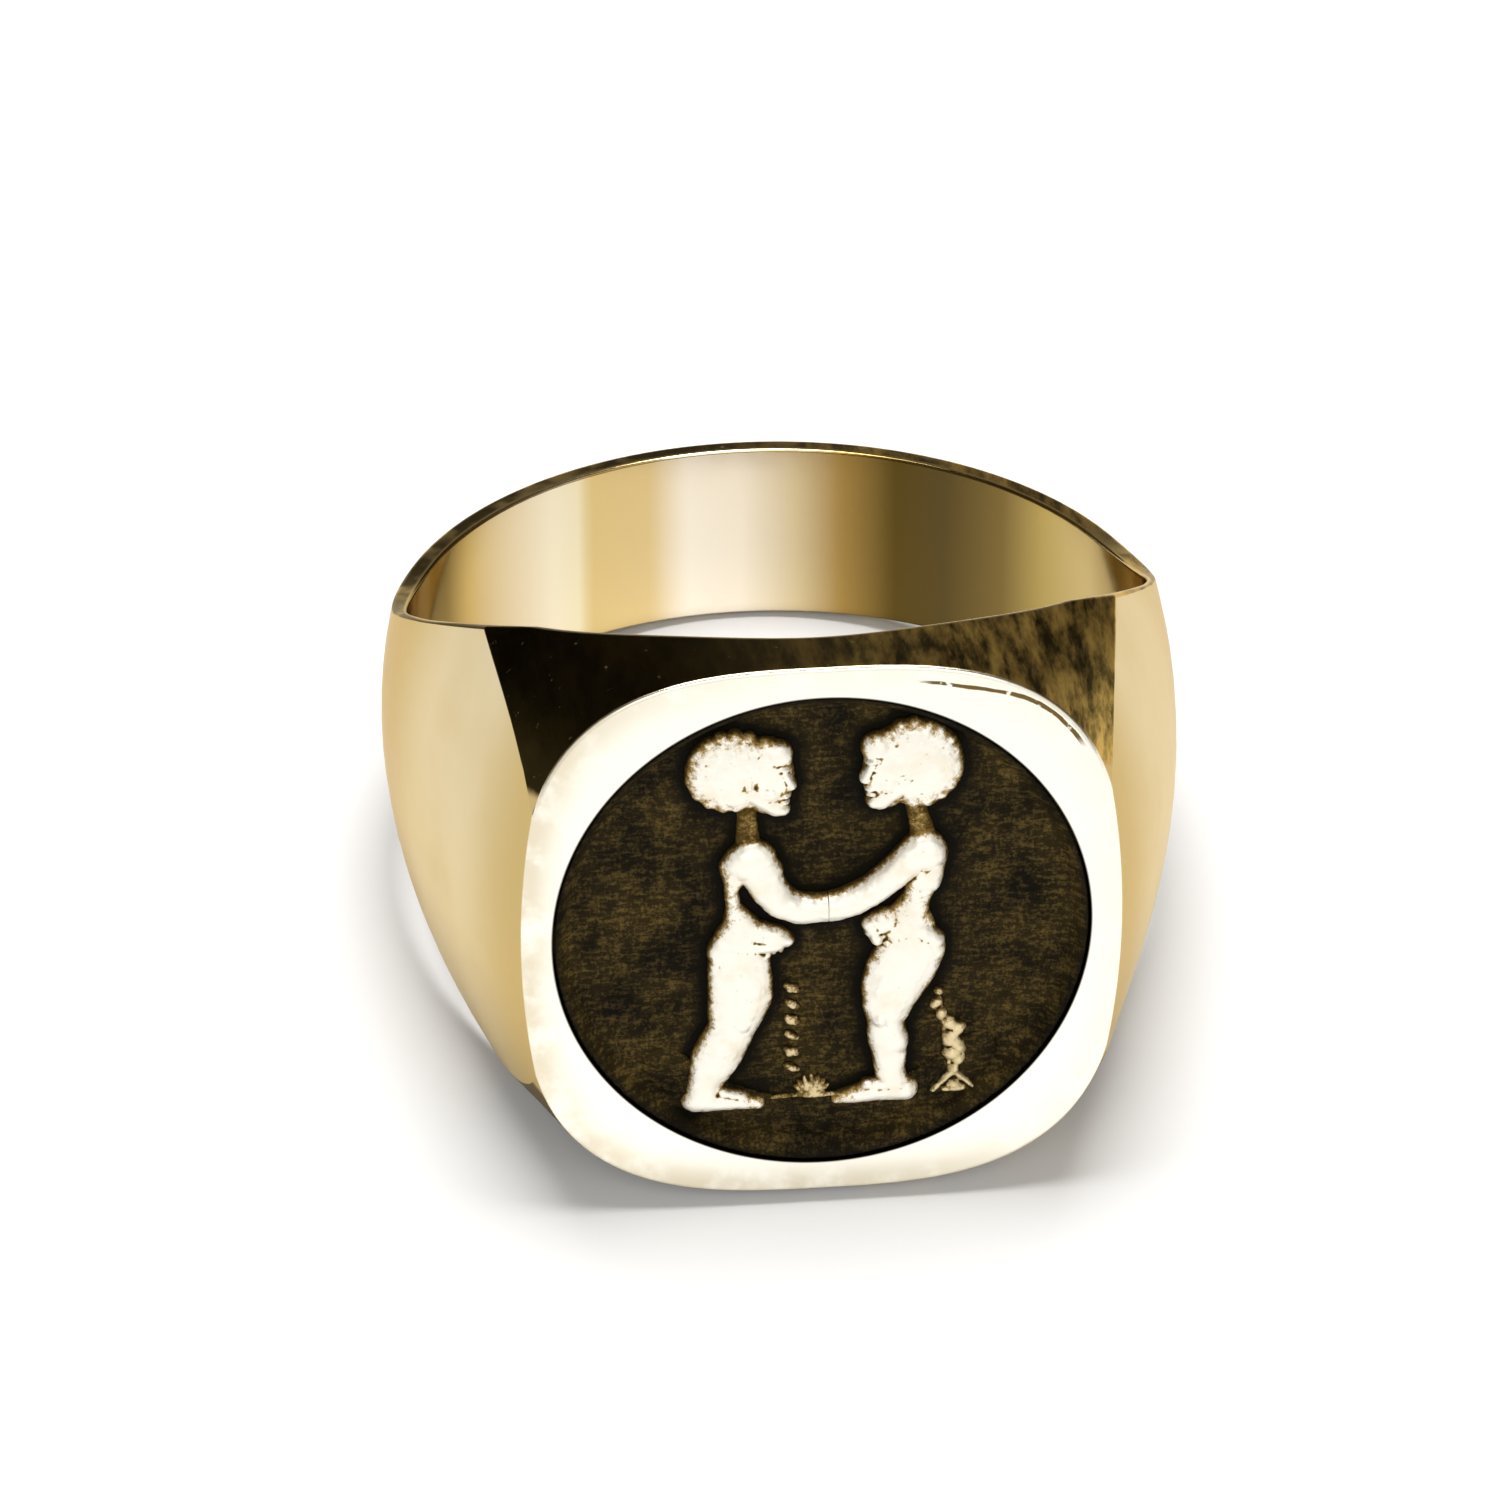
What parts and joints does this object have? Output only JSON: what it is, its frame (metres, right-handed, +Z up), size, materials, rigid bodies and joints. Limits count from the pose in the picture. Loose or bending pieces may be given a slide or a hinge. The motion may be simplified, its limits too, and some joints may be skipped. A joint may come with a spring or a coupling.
{
  "type": "signet ring",
  "caption": "Men's cushion signet ring with tapering shoulders and a round relief of facing figures clasping hands on a blackened ground, lying on its side.",
  "frame": {"origin": "centre of the ring's footprint on the table, as it rests on its side", "axes": "+Z up, -Y towards the front that the signet face turns to, +X to the right of someone who looks at the face"},
  "size_m": [0.0216, 0.0244, 0.0159],
  "materials": {
    "body_gold": "polished, soft satin on the shoulders",
    "plate_gold": "polished",
    "relief_gold": "bright polished",
    "worn_relief": "half blackened",
    "solder": "dull",
    "blackened_ground": "oxidised, tool marked"
  },
  "bodies": {
    "root": {"ring_body": "body_gold", "bond_layer": "solder", "relief_plate": "plate_gold", "black_ground": "blackened_ground", "left_twin": "relief_gold", "right_twin": "relief_gold", "altar_post": "worn_relief", "grass_tuft": "worn_relief", "bead_column": "worn_relief", "ground_mound": "blackened_ground"}
  },
  "joints": []
}
